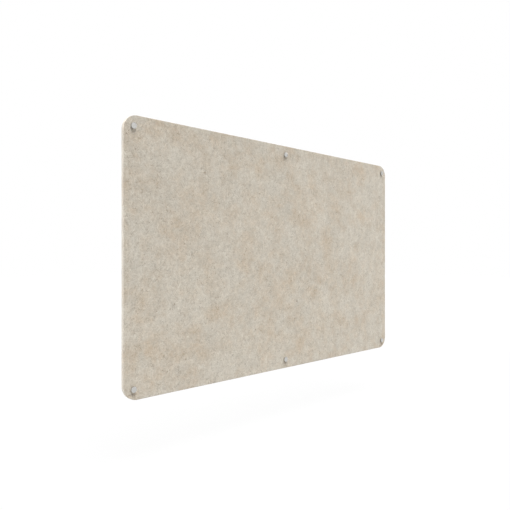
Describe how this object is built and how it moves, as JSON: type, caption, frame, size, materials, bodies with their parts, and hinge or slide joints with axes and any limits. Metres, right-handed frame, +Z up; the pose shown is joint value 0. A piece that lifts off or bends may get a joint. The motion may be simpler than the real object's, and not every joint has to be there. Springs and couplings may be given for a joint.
{
  "type": "acoustic pinboard",
  "caption": "Wall-hung acoustic pinboard: a wide pressed-felt panel with round corners, held off the wall by turned metal stand-offs.",
  "frame": {"origin": "on the wall's surface, behind the middle of the panel and at the centre of the six stand-offs", "axes": "+X along the wall to the right seen from the room, +Y into the wall, +Z up; the felt faces -Y"},
  "size_m": [1.5, 0.068, 0.9],
  "materials": {
    "felt": "matt pressed felt, mottled warm beige",
    "cap_metal": "satin turned",
    "barrel_metal": "satin turned",
    "washer_nylon": "black nylon",
    "screw_zinc": "bright zinc plated"
  },
  "bodies": {
    "root": {"felt_panel": "felt", "standoff_barrel_top_left": "barrel_metal", "standoff_barrel_top_middle": "barrel_metal", "standoff_barrel_top_right": "barrel_metal", "standoff_barrel_bottom_left": "barrel_metal", "standoff_barrel_bottom_middle": "barrel_metal", "standoff_barrel_bottom_right": "barrel_metal", "standoff_cap_top_left": "cap_metal", "standoff_cap_top_middle": "cap_metal", "standoff_cap_top_right": "cap_metal", "standoff_cap_bottom_left": "cap_metal", "standoff_cap_bottom_middle": "cap_metal", "standoff_cap_bottom_right": "cap_metal", "barrel_washer_top_left": "washer_nylon", "barrel_washer_top_middle": "washer_nylon", "barrel_washer_top_right": "washer_nylon", "barrel_washer_bottom_left": "washer_nylon", "barrel_washer_bottom_middle": "washer_nylon", "barrel_washer_bottom_right": "washer_nylon", "cap_washer_top_left": "washer_nylon", "cap_washer_top_middle": "washer_nylon", "cap_washer_top_right": "washer_nylon", "cap_washer_bottom_left": "washer_nylon", "cap_washer_bottom_middle": "washer_nylon", "cap_washer_bottom_right": "washer_nylon", "wall_screw_top_left": "screw_zinc", "wall_screw_top_middle": "screw_zinc", "wall_screw_top_right": "screw_zinc", "wall_screw_bottom_left": "screw_zinc", "wall_screw_bottom_middle": "screw_zinc", "wall_screw_bottom_right": "screw_zinc"}
  },
  "joints": []
}
